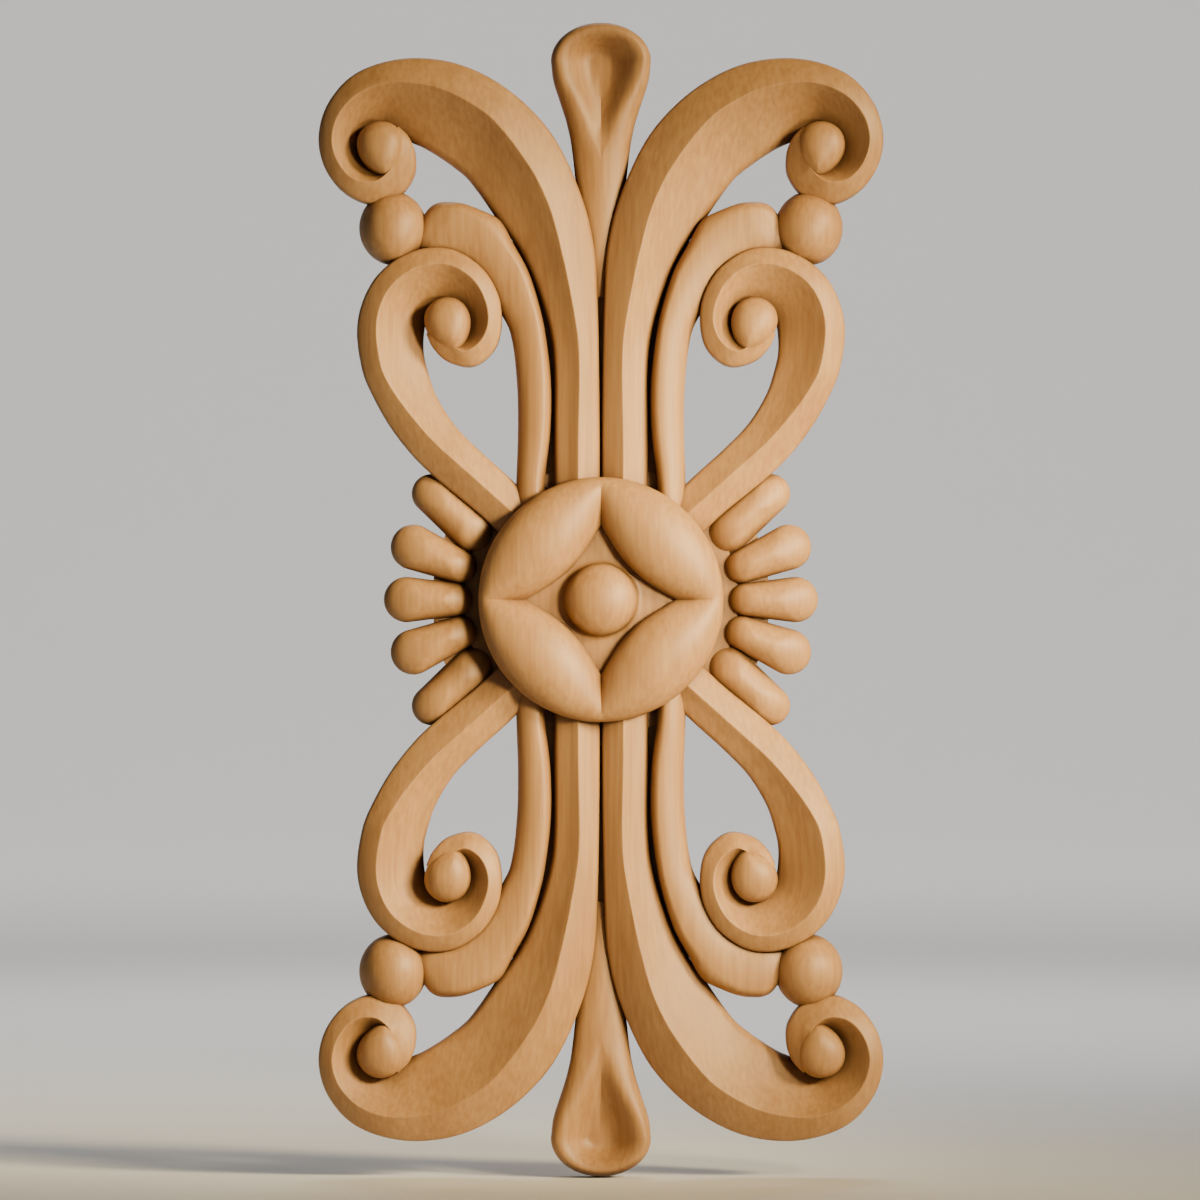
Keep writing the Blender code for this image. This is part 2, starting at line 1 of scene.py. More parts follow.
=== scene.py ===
# %% [markdown]
# # A carved scroll onlay
#
# An onlay is a thin carving that is glued onto a plain panel, a drawer or a chimney
# piece. This one stands upright: a round rosette in the middle, a fan of lobes on
# each side, and above and below it a pair of tall scrolls, a pair of small scrolls, a
# pair of leaves and a hollow finial. It is cut from one board, so everything here ends
# up as one piece of wood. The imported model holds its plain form. This lesson builds
# the finished carving in the same place and at the same size, with rounder forms, and
# then gives it its wood.

import json
import math

import bmesh
import bpy
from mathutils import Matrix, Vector

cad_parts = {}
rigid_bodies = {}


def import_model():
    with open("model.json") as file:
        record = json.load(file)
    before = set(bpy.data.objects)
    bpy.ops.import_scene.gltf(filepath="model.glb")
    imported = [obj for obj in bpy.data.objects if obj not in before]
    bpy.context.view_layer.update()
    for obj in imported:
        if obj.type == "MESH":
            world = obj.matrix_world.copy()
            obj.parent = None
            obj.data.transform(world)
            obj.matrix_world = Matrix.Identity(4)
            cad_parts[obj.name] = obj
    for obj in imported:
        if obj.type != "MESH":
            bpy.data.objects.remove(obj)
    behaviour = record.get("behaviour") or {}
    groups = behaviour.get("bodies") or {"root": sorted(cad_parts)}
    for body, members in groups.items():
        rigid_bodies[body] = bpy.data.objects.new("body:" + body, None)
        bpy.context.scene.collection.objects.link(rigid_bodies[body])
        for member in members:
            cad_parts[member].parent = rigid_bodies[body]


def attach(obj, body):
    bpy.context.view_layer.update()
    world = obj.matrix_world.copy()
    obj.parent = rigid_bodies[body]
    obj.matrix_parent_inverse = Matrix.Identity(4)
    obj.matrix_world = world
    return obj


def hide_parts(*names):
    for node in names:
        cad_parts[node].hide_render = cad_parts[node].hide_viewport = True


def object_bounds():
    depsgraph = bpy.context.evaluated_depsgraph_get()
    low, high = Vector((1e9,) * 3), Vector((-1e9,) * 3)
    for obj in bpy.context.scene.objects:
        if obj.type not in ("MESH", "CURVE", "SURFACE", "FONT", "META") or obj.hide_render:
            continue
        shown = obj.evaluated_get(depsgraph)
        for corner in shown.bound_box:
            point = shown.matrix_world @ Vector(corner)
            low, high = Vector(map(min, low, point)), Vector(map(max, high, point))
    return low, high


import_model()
solid_low, solid_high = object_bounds()
HEIGHT = solid_high.z - solid_low.z
print("the onlay is %.1f mm tall" % (HEIGHT * 1000))

# %% [markdown]
# ## Drawing in two directions
#
# A carver draws the plan on the board first and then decides how high each place
# stands. The helpers here do the same: a place in the plan is an (x, z) pair, and a
# depth says how far in front of the flat back it lies. The curves are drawn in
# thousandths of the height, so they read like a drawing at any size. Depths and widths
# that a carver would measure on the wood are in metres.

# %% Plan helpers
MIDDLE = (0.0, 0.0)
QUARTER_TURN = math.radians(90.0)


def share(thousandths):
    """A length given in thousandths of the onlay's height."""
    return thousandths * HEIGHT / 1000.0


def place(point):
    """A point of the drawing, in metres."""
    return (share(point[0]), share(point[1]))


def polar(centre, radius, angle):
    """The point at a radius and an angle about a centre."""
    return (centre[0] + radius * math.cos(angle), centre[1] + radius * math.sin(angle))


def blend(start, end, amount):
    """The value part of the way from start to end."""
    return start + (end - start) * amount


def between(first, second, amount):
    """The point part of the way between two points of the plan."""
    return (blend(first[0], second[0], amount), blend(first[1], second[1], amount))


def distance(first, second):
    """The distance in plan between two points."""
    return math.hypot(second[0] - first[0], second[1] - first[1])


def round_angles(sides):
    """Angles that share a full turn between so many sides."""
    return [2 * math.pi * index / sides for index in range(sides)]


def at(point, depth):
    """The corner that stands the given depth in front of the back."""
    return Vector((point[0], -depth, point[1]))


print("a step of one thousandth is %.2f mm" % (share(1) * 1000))

# %% [markdown]
# ## A skin over rings
#
# Every form on the onlay is a stack of rings: cross-sections along a scroll, or
# contour lines up a dome. `skin` joins ring to ring with faces and closes both ends,
# unless the last ring runs together in a point or a line. That gives a watertight
# solid. Watertight matters, because all the forms are joined into one piece of wood
# at the end.

# %% Skin
MERGE_DISTANCE = 0.0000001

carved_forms = bpy.data.collections.new("carved_forms")
bpy.context.scene.collection.children.link(carved_forms)


def skin(name, rings, run_together=False):
    """Join rings of corners into a closed solid in the collection of forms."""
    builder = bmesh.new()
    rows = [[builder.verts.new(corner) for corner in ring] for ring in rings]
    for lower, upper in zip(rows, rows[1:]):
        for index in range(len(lower)):
            following = (index + 1) % len(lower)
            builder.faces.new((lower[index], lower[following], upper[following], upper[index]))
    builder.faces.new(rows[0])
    if not run_together:
        builder.faces.new(rows[-1])
    bmesh.ops.remove_doubles(builder, verts=builder.verts, dist=MERGE_DISTANCE)
    bmesh.ops.dissolve_degenerate(builder, edges=builder.edges, dist=MERGE_DISTANCE)
    bmesh.ops.triangulate(builder, faces=builder.faces)
    bmesh.ops.recalc_face_normals(builder, faces=builder.faces)
    mesh = bpy.data.meshes.new(name)
    builder.to_mesh(mesh)
    builder.free()
    item = bpy.data.objects.new(name, mesh)
    carved_forms.objects.link(item)
    return item


def face_count(items):
    """How many faces a few forms have together."""
    return sum(len(item.data.polygons) for item in items)


print("forms are collected in", carved_forms.name)

# %% [markdown]
# ## Smooth rows
#
# A carver bends a thin lath through a few marks to draw a long curve. `smooth_values`
# is that lath: it passes a smooth curve through rows of numbers, which may be the
# places of an edge or the depths that go with them. Each of the three lines of a
# scroll is measured by its own lengths, because the outer edge of a tight turn is
# much longer than the inner one.

# %% Smooth rows
def smooth_values(values, knots, steps):
    """Pass a smooth curve through equally long rows of numbers at rising knots."""
    last = len(values) - 1
    slopes = []
    for index in range(len(values)):
        before, after = max(index - 1, 0), min(index + 1, last)
        span = knots[after] - knots[before]
        slopes.append([(b - a) / span for a, b in zip(values[before], values[after])])
    result = []
    for index in range(last):
        span = knots[index + 1] - knots[index]
        for step in range(steps):
            t = step / steps
            start_weight = (1 + 2 * t) * (1 - t) ** 2
            start_pull = t * (1 - t) ** 2
            end_weight = t * t * (3 - 2 * t)
            end_pull = t * t * (t - 1)
            ends = zip(values[index], values[index + 1], slopes[index], slopes[index + 1])
            result.append(tuple(
                start_weight * a + start_pull * span * m + end_weight * b + end_pull * span * n
                for a, b, m, n in ends
            ))
    result.append(tuple(values[last]))
    return result


def smooth_stations(outer, crest, inner, shares, steps):
    """Smooth three lines of points, each by its own lengths, and the numbers that go with them."""
    lines = []
    for points in (outer, crest, inner):
        knots = [0.0]
        for before, after in zip(points, points[1:]):
            knots.append(knots[-1] + distance(before, after))
        lines.append(smooth_values(points, knots, steps))
    lines.append(smooth_values(shares, range(len(shares)), steps))
    return list(zip(*lines))


print("three places in four steps give", len(smooth_values([(0,), (1,), (0,)], range(3), 4)), "places")

# %% Rounded corners
EASE_STEPS = 4
LONGEST_CUT = 0.48
SHORTEST_SIDE = 1e-9


def eased(corners, radii):
    """Round the corners of a cross-section, each by its own radius."""
    result = []
    for index, corner in enumerate(corners):
        if radii[index] <= 0.0:
            result.append(corner)
            continue
        before, after = corners[index - 1] - corner, corners[index + 1] - corner
        start = corner + before * min(LONGEST_CUT, radii[index] / max(before.length, SHORTEST_SIDE))
        end = corner + after * min(LONGEST_CUT, radii[index] / max(after.length, SHORTEST_SIDE))
        for step in range(EASE_STEPS + 1):
            t = step / EASE_STEPS
            result.append(start * (1 - t) ** 2 + corner * 2 * t * (1 - t) + end * t * t)
    return result


print("a rounded corner gets", EASE_STEPS + 1, "corners")

# %% [markdown]
# ## The section of a scroll
#
# Across the ribbon of a scroll there are three lines: the outer edge, a crisp crest,
# and the inner edge. Between the outer edge and the crest lies a narrow bevel, and
# from the crest a broad face, slightly hollow, falls to the inner edge. A curve with
# a bevel profile would be quicker to make, but it keeps one section along its whole
# length, and here the section is another one at each place.

# %% Cross-section of a scroll
BIG_CREST_DEPTH = 0.0145
SMALL_CREST_DEPTH = 0.0135
BAND_SLOPE = math.tan(math.radians(32.0))
BAND_BULGE = 0.00012
EDGE_ROUND = 0.0009
CREST_ROUND = 0.0003
FACE_STEPS = 5
FACE_STEPS_END = 0.62


def scroll_section(outer, crest, inner, depths, face_hollow, inner_round):
    """The corners across a scroll, from its outer edge over the crest to its inner edge."""
    crest_depth, inner_depth = depths
    outer_depth = crest_depth - distance(outer, crest) * BAND_SLOPE
    hollow = face_hollow * distance(crest, inner)
    corners = [at(outer, 0.0), at(outer, outer_depth)]
    radii = [0.0, EDGE_ROUND]
    corners.append(at(between(outer, crest, 0.5), blend(outer_depth, crest_depth, 0.5) + BAND_BULGE))
    radii.append(0.0)
    corners.append(at(crest, crest_depth))
    radii.append(CREST_ROUND)
    for step in range(1, FACE_STEPS):
        t = FACE_STEPS_END * step / (FACE_STEPS - 1)
        sink = hollow * 4 * t * (1 - t)
        corners.append(at(between(crest, inner, t), blend(crest_depth, inner_depth, t) - sink))
        radii.append(0.0)
    corners.append(at(inner, inner_depth))
    radii.append(inner_round)
    corners.append(at(inner, 0.0))
    radii.append(0.0)
    return eased(corners, radii)


print("the tall scroll's crest stands %.1f mm off the back" % (BIG_CREST_DEPTH * 1000))

# %% [markdown]
# ## The scrolls
#
# A scroll leaves the rosette, swings out and winds up round an egg. Its stations are
# cross-sections at chosen places: each row of a run gives the outer edge, the crest
# and the inner edge, and then the depths of the crest and of the inner edge as shares
# of the full depth. Each row of a volute gives three distances from the eye, one row
# for every 30 degrees. The last half turn lies on top of the ribbon's beginning, so it
# is made as a solid of its own: a solid that runs through itself can't be joined to
# the others cleanly.

# %% Stations and loft
SCROLL_STEPS = 7
VOLUTE_STEP = math.radians(30.0)
VOLUTE_CORE_DEPTH = 0.30
LAST_TURN_STATIONS = 6


def run_stations(run, full_depth):
    """The stations of the stretch between the rosette and the volute."""
    return [
        (place(outer), place(crest), place(inner), (crest_share * full_depth, inner_share * full_depth))
        for outer, crest, inner, crest_share, inner_share in run
    ]


def volute_stations(volute, centre, start, turn, full_depth):
    """The stations of a volute, one for each step about its eye."""
    stations = []
    for index, (outer_radius, crest_radius, core_radius, crest_share) in enumerate(volute):
        angle = start + turn * index * VOLUTE_STEP
        stations.append((
            polar(centre, share(outer_radius), angle),
            polar(centre, share(crest_radius), angle),
            polar(centre, share(core_radius), angle),
            (crest_share * full_depth, VOLUTE_CORE_DEPTH * full_depth),
        ))
    return stations


def make_scroll(name, stations, face_hollow, inner_round):
    """Loft a scroll through its stations, as two solids that share one section."""
    sections = []
    for outer, crest, inner, depths in smooth_stations(*zip(*stations), SCROLL_STEPS):
        sections.append(scroll_section(outer, crest, inner, depths, face_hollow, inner_round))
    cut = (len(stations) - 1 - LAST_TURN_STATIONS) * SCROLL_STEPS
    return [skin(name, sections[:cut + 1]), skin(name + "_end", sections[cut:])]


print("each stretch between two stations gets", SCROLL_STEPS, "sections")

# %% The tall scroll
ROSETTE_RADIUS = 0.0318
BIG_ROOT_REACH = 0.65
BIG_RUN = (
    ((1.0, 138.4), (19.5, 138.4), (40.6, 138.4), 0.80, 0.56),
    ((1.8, 216.4), (19.0, 216.4), (41.7, 216.4), 0.83, 0.56),
    ((2.9, 259.8), (25.2, 259.8), (52.1, 259.8), 0.88, 0.52),
    ((5.5, 303.1), (34.3, 303.1), (70.3, 301.4), 0.94, 0.46),
    ((15.7, 346.5), (45.2, 341.3), (88.5, 327.4), 0.98, 0.42),
    ((39.3, 398.5), (61.6, 374.2), (114.5, 363.8), 1.00, 0.38),
    ((68.6, 432.3), (93.2, 414.8), (131.0, 377.7), 1.00, 0.36),
    ((103.3, 455.9), (119.9, 433.4), (146.6, 388.1), 0.99, 0.36),
    ((137.9, 467.3), (145.4, 443.6), (157.9, 394.1), 0.97, 0.34),
)
BIG_EYE_PLACE = (190.4, 391.5)
BIG_VOLUTE_START = math.radians(100.0)
BIG_VOLUTE = (
    (77.4, 56.8, 14.0, 0.96), (67.4, 50.4, 10.0, 0.95), (59.7, 46.1, 9.0, 0.94),
    (54.9, 42.7, 9.0, 0.93), (51.9, 39.0, 9.0, 0.92), (50.5, 36.1, 9.0, 0.90),
    (49.6, 30.3, 9.0, 0.88), (44.5, 21.5, 9.0, 0.88), (37.3, 14.5, 9.0, 0.91),
    (30.0, 12.0, 9.0, 0.92), (25.8, 11.0, 9.0, 0.92), (23.7, 10.0, 9.0, 0.90),
)
BIG_HOLLOW = 0.035
BIG_INNER_ROUND = 0.0022

big_centre = place(BIG_EYE_PLACE)
big_run = run_stations(BIG_RUN, BIG_CREST_DEPTH)
big_root = tuple((point[0], ROSETTE_RADIUS * BIG_ROOT_REACH) for point in big_run[0][:3])
big_root += big_run[0][3:]
big_volute = volute_stations(BIG_VOLUTE, big_centre, BIG_VOLUTE_START, -1, BIG_CREST_DEPTH)
big_stations = [big_root] + big_run + big_volute
big_scroll = make_scroll("big_scroll", big_stations, BIG_HOLLOW, BIG_INNER_ROUND)
print("the tall scroll has", face_count(big_scroll), "faces")

# %% The small scroll
SMALL_ROOT_REACH = 0.85
SMALL_ROOT_DEGREES = (31.5, 45.2, 57.2)
SMALL_RUN = (
    ((106.7, 75.1), (92.0, 89.4), (79.9, 106.3), 0.84, 0.60),
    ((137.9, 100.6), (121.5, 115.8), (106.7, 130.6), 0.86, 0.58),
    ((160.1, 121.0), (144.9, 137.1), (127.5, 152.2), 0.89, 0.54),
    ((181.0, 147.0), (164.8, 160.0), (143.1, 177.4), 0.93, 0.48),
    ((196.2, 173.1), (180.4, 181.7), (150.1, 197.3), 0.97, 0.42),
    ((206.9, 199.1), (190.0, 201.7), (154.0, 216.4), 1.00, 0.38),
)
SMALL_EYE_PLACE = (132.7, 240.7)
SMALL_VOLUTE = (
    (78.1, 61.1, 19.5, 1.00), (73.5, 57.7, 17.0, 1.00), (68.8, 53.6, 12.0, 0.99),
    (63.5, 49.2, 9.0, 0.98), (55.8, 42.7, 9.0, 0.97), (49.9, 37.4, 9.0, 0.95),
    (46.8, 35.2, 9.0, 0.93), (47.3, 33.3, 9.0, 0.91), (44.6, 29.6, 9.0, 0.90),
    (34.5, 18.0, 9.0, 0.91), (26.0, 12.5, 9.0, 0.93), (21.5, 11.0, 9.0, 0.92),
)
SMALL_HOLLOW = 0.03
SMALL_INNER_ROUND = 0.0012

small_centre = place(SMALL_EYE_PLACE)
small_run = run_stations(SMALL_RUN, SMALL_CREST_DEPTH)
small_root = tuple(
    polar(MIDDLE, ROSETTE_RADIUS * SMALL_ROOT_REACH, math.radians(degrees))
    for degrees in SMALL_ROOT_DEGREES
)
small_root += small_run[0][3:]
small_volute = volute_stations(SMALL_VOLUTE, small_centre, 0.0, 1, SMALL_CREST_DEPTH)
small_stations = [small_root] + small_run + small_volute
small_scroll = make_scroll("small_scroll", small_stations, SMALL_HOLLOW, SMALL_INNER_ROUND)
print("the small scroll has", face_count(small_scroll), "faces")

# %% [markdown]
# ## Eggs and balls
#
# Each scroll winds up round an egg, and a ball fills the gap between the two scrolls.
# Both are domes over an outline: contour lines that draw in towards the middle while
# they climb. A sphere object would be quicker, but it couldn't be drawn out to the
# point that the egg has where the crest runs into it.

# %% Domes
DOME_RINGS = 14
ROUND_SIDES = 64


def dome(name, outline, spine, skirt, tops, rings=DOME_RINGS, fullness=2.0):
    """Raise a rounded solid over an outline, each corner towards its own spine point."""
    layers = [[at(point, 0.0) for point in outline], [at(point, skirt) for point in outline]]
    for ring in range(1, rings + 1):
        rise = QUARTER_TURN * ring / rings
        climb = math.sin(rise) ** (2.0 / fullness)
        width = math.cos(rise) ** (2.0 / fullness) if ring < rings else 0.0
        layers.append([
            at(between(middle, point, width), skirt + (top - skirt) * climb)
            for point, middle, top in zip(outline, spine, tops)
        ])
    return skin(name, layers, run_together=True)


def ellipse(centre, width, height, sides=ROUND_SIDES):
    """Outline of an ellipse."""
    return [
        (centre[0] + width / 2 * math.cos(angle), centre[1] + height / 2 * math.sin(angle))
        for angle in round_angles(sides)
    ]


def teardrop(centre, width, length, direction, point, sides=ROUND_SIDES):
    """Outline of an egg drawn out to a point in the given direction."""
    along = (math.cos(direction), math.sin(direction))
    turns = round_angles(sides)
    widest = max(math.sin(t) * math.sin(t / 2) ** point for t in turns[:sides // 2])
    points = []
    for t in turns:
        forward = length / 2 * math.cos(t)
        sideways = width / 2 * math.sin(t) * math.sin(t / 2) ** point / widest
        points.append((
            centre[0] + forward * along[0] - sideways * along[1],
            centre[1] + forward * along[1] + sideways * along[0],
        ))
    return points


print("a dome has", DOME_RINGS, "rings of", ROUND_SIDES, "corners")

# %% The eggs
# Width and length in metres, tilt in degrees, and how far the egg is moved that way.
BIG_EYE = (0.0124, 0.0145, -99.0, 0.0004)
SMALL_EYE = (0.0120, 0.0145, -107.0, 0.0008)
EYE_RISE = 0.0055
EYE_SKIRT_SHARE = 0.66
EYE_POINT = 0.35
EYE_FULLNESS = 2.2


def make_eye(name, centre, sizes, crest_depth):
    """The egg that closes a volute."""
    width, length, degrees, shift = sizes
    tilt = math.radians(degrees)
    middle = polar(centre, shift, tilt)
    outline = teardrop(middle, width, length, tilt, EYE_POINT)
    skirt = crest_depth * EYE_SKIRT_SHARE
    tops = [skirt + EYE_RISE] * len(outline)
    return dome(name, outline, [middle] * len(outline), skirt, tops, fullness=EYE_FULLNESS)


big_eye = make_eye("big_eye", big_centre, BIG_EYE, BIG_CREST_DEPTH)
small_eye = make_eye("small_eye", small_centre, SMALL_EYE, SMALL_CREST_DEPTH)
print("an egg has", face_count([big_eye]), "faces")

# %% The ball
BALL_PLACE = (180.4, 322.2)
BALL_WIDTH = 0.0176
BALL_HEIGHT = 0.0190
BALL_SKIRT_DEPTH = 0.0052

ball_centre = place(BALL_PLACE)
ball_outline = ellipse(ball_centre, BALL_WIDTH, BALL_HEIGHT)
ball_tops = [BALL_SKIRT_DEPTH + BALL_WIDTH / 2] * ROUND_SIDES
ball = dome("ball", ball_outline, [ball_centre] * ROUND_SIDES, BALL_SKIRT_DEPTH, ball_tops)
print("the ball has", face_count([ball]), "faces")

# %% [markdown]
# ## The leaves
#
# Between the two scrolls of each quarter a leaf climbs from the rosette to the ball.
# Its section is one soft swelling, highest near the outer edge, that falls away
# faster and faster towards the inner edge. A sine on each side of the crest gives
# that swelling without any crease, where a few points and a subdivision modifier
# would also shrink the outline. A low floor of wood closes the groove between the
# leaf and the tall scroll.

# %% The leaf
# Outer edge, crest, inner edge, and the share of the full depth at that place.
LEAF_RUN = (
    ((48.6, 103.7), (56.3, 103.7), (73.3, 103.7), 1.00),
    ((43.7, 147.0), (51.5, 147.0), (72.0, 147.0), 1.00),
    ((43.4, 190.4), (50.8, 190.4), (72.9, 188.7), 1.00),
    ((48.6, 233.7), (54.7, 233.7), (78.6, 231.1), 1.00),
    ((54.7, 259.8), (61.6, 259.8), (89.4, 252.8), 1.00),
    ((63.4, 285.8), (71.6, 285.8), (102.4, 274.5), 1.00),
    ((75.5, 307.9), (85.1, 305.7), (116.3, 289.2), 1.00),
    ((87.4, 328.6), (99.8, 321.3), (131.0, 296.2), 1.00),
    ((103.3, 337.4), (113.7, 331.7), (141.4, 297.9), 1.00),
    ((120.6, 343.6), (127.5, 336.9), (151.8, 299.6), 0.98),
    ((137.9, 344.7), (141.4, 336.9), (159.6, 303.1), 0.90),
    ((147.0, 341.4), (149.5, 333.5), (163.0, 307.0), 0.80),
    ((153.5, 334.0), (157.0, 327.5), (165.7, 311.8), 0.66),
)
LEAF_ROOT_REACH = 0.70
LEAF_CREST_DEPTH = 0.0110
LEAF_EDGE_DEPTH = 0.0066
LEAF_HALF_STEPS = 6
LEAF_STEPS = 5


def leaf_section(outer, crest, inner, height):
    """The soft swelling across the leaf."""
    edge = LEAF_EDGE_DEPTH * height
    rise = LEAF_CREST_DEPTH * height - edge
    corners = [at(outer, 0.0)]
    for start, end, climbing in ((outer, crest, True), (crest, inner, False)):
        for step in range(LEAF_HALF_STEPS):
            t = step / LEAF_HALF_STEPS
            turn = QUARTER_TURN * (1.0 - t if climbing else t)
            spread = 1.0 - math.sin(turn) if climbing else math.sin(turn)
            corners.append(at(between(start, end, spread), edge + rise * math.cos(turn)))
    corners.append(at(inner, edge))
    corners.append(at(inner, 0.0))
    return corners


leaf_run = [
    (place(outer), place(crest), place(inner), (height,))
    for outer, crest, inner, height in LEAF_RUN
]
leaf_root = tuple((point[0], ROSETTE_RADIUS * LEAF_ROOT_REACH) for point in leaf_run[0][:3])
leaf_root += leaf_run[0][3:]
leaf_stations = smooth_stations(*zip(leaf_root, *leaf_run), LEAF_STEPS)
leaf = skin("leaf", [leaf_section(*station[:3], *station[3]) for station in leaf_stations])
print("the leaf has", face_count([leaf]), "faces")

# %% The floor of the groove
GROOVE_FLOOR_DEPTH = 0.0040
GROOVE_WIDTH = 10.0
GROOVE_TOP = 310.0

groove_sections = []
for outer, crest, *_ in leaf_stations:
    if crest[1] > share(GROOVE_TOP):
        break
    outside = (outer[0] - share(GROOVE_WIDTH), outer[1])
    groove_sections.append((
        at(outside, 0.0), at(outside, GROOVE_FLOOR_DEPTH),
        at(crest, GROOVE_FLOOR_DEPTH), at(crest, 0.0),
    ))
groove_floor = skin("groove_floor", groove_sections)
print("the floor of the groove has", face_count([groove_floor]), "faces")

# %% [markdown]
# ## The fans
#
# Five lobes spread from each side of the rosette on a thin plate. Each is narrow at
# the rosette and broad at the end, full at the sides, and its back is arched, so that
# it stands highest near the rosette and dips towards its end. One lobe copied by an
# array would be quicker, but a carver fits the outermost lobe to the scroll beside it,
# so each lobe has a row of its own in the table.

# %% The lobes
# For the end at the rosette, then for the full end: distance from the middle of the
# onlay, angle in degrees, and width. The last number is how far the lobe lies lower.
LOBES = (
    (0.0377, 0.0, 0.0086, 0.0506, 0.0, 0.0118, 0.0),
    (0.0376, 13.1, 0.0086, 0.0507, 15.6, 0.0118, 0.0),
    (0.0374, 27.9, 0.0112, 0.0521, 32.0, 0.0102, 0.0018),
)
FAN_PLATE_DEPTH = 0.0042
LOBE_STAND = 0.0010
LOBE_RISE = 0.0052
LOBE_FULLNESS = 1.75
LOBE_RINGS = 10
LOBE_ARC_SIDES = 20
LOBE_SIDE_STEPS = 9
LOBE_TOP_START = 0.30
LOBE_TOP_END = 0.60


def make_lobe(inner_reach, inner_angle, inner_width, outer_reach, outer_angle, outer_width, drop):
    """One lobe of the fan, from its narrow end at the rosette to its full end."""
    inner_centre = polar(MIDDLE, inner_reach, math.radians(inner_angle))
    outer_centre = polar(MIDDLE, outer_reach, math.radians(outer_angle))
    inner_radius, outer_radius = inner_width / 2, outer_width / 2
    along = math.atan2(outer_centre[1] - inner_centre[1], outer_centre[0] - inner_centre[0])
    taper = math.asin((outer_radius - inner_radius) / distance(inner_centre, outer_centre))
    skirt = FAN_PLATE_DEPTH + LOBE_STAND - drop
    outline, spine = [], []

    def corner(point, place_along):
        outline.append(point)
        top_place = blend(LOBE_TOP_START, LOBE_TOP_END, place_along)
        spine.append(between(inner_centre, outer_centre, top_place))

    def straight(side):
        start = polar(outer_centre, outer_radius, along + side * (QUARTER_TURN + taper))
        end = polar(inner_centre, inner_radius, along + side * (QUARTER_TURN + taper))
        steps = range(1, LOBE_SIDE_STEPS)
        for step in steps if side > 0 else reversed(steps):
            t = step / LOBE_SIDE_STEPS
            corner(between(start, end, t), 1.0 - t)

    for index in range(LOBE_ARC_SIDES + 1):
        angle = blend(-QUARTER_TURN - taper, QUARTER_TURN + taper, index / LOBE_ARC_SIDES)
        corner(polar(outer_centre, outer_radius, along + angle), 1.0)
    straight(1)
    for index in range(LOBE_ARC_SIDES + 1):
        angle = blend(QUARTER_TURN + taper, 3 * QUARTER_TURN - taper, index / LOBE_ARC_SIDES)
        corner(polar(inner_centre, inner_radius, along + angle), 0.0)
    straight(-1)
    tops = [skirt + LOBE_RISE] * len(outline)
    return dome("lobe", outline, spine, skirt, tops, LOBE_RINGS, LOBE_FULLNESS)


lobes = [make_lobe(*sizes) for sizes in LOBES]
print("a lobe has", face_count(lobes[:1]), "faces")

# %% The plate behind the lobes and the disc behind the rosette
FAN_PLATE_RADIUS = 0.0439
FAN_PLATE_HALF_ANGLE = math.radians(27.0)
PLATE_SIDES = 24
BASE_MARGIN = 0.0038
BASE_DEPTH = 0.0050
DISC_SIDES = 96


def slab(name, outline, depth):
    """A flat piece of the given outline that stands on the back plane."""
    return skin(name, [[at(point, 0.0) for point in outline], [at(point, depth) for point in outline]])


plate_outline = [
    polar(MIDDLE, ROSETTE_RADIUS / 2, FAN_PLATE_HALF_ANGLE),
    polar(MIDDLE, ROSETTE_RADIUS / 2, -FAN_PLATE_HALF_ANGLE),
]
for index in range(PLATE_SIDES + 1):
    angle = blend(-FAN_PLATE_HALF_ANGLE, FAN_PLATE_HALF_ANGLE, index / PLATE_SIDES)
    plate_outline.append(polar(MIDDLE, FAN_PLATE_RADIUS, angle))
fan_plate = slab("fan_plate", plate_outline, FAN_PLATE_DEPTH)
disc_width = 2 * (ROSETTE_RADIUS + BASE_MARGIN)
base_disc = slab("base_disc", ellipse(MIDDLE, disc_width, disc_width, DISC_SIDES), BASE_DEPTH)
print("the disc is %.1f mm wide" % (disc_width * 1000))

# %% [markdown]
# ## The finials
#
# On the middle line, above and below, a finial rises behind the tall scrolls. It is a
# hollowed spoon: rounded on the outside, with a rim that is thin at the tip, drops
# into a hollow, and runs together lower down into one soft ridge. Sculpting it by hand
# would work as well, but the cross-section is a smooth W that closes up to a roof, so
# one function of the rim's place makes both and stays even on its two sides.

# %% The side of the finial
# Height, half width, the rim's place as a share of the half width, and then the
# depths of the rim, of the outer edge and of the hollow's floor as shares.
FINIAL_SIDE = (
    (262.0, 7.0, 0.00, 0.62, 0.54, 0.62),
    (300.0, 12.0, 0.00, 0.68, 0.54, 0.68),
    (340.0, 19.0, 0.00, 0.76, 0.55, 0.76),
    (368.0, 22.6, 0.00, 0.83, 0.58, 0.83),
    (386.0, 24.6, 0.08, 0.87, 0.60, 0.865),
    (400.0, 26.7, 0.36, 0.91, 0.63, 0.86),
    (415.8, 30.4, 0.50, 0.96, 0.67, 0.74),
    (433.2, 36.0, 0.65, 0.99, 0.71, 0.60),
    (450.5, 41.4, 0.78, 1.00, 0.76, 0.50),
    (466.5, 43.4, 0.84, 1.00, 0.80, 0.47),
)
FINIAL_TIP = 500.0
FINIAL_SHUT = 0.02
FINIAL_TIP_STEPS = 24
FINIAL_STEPS = 5


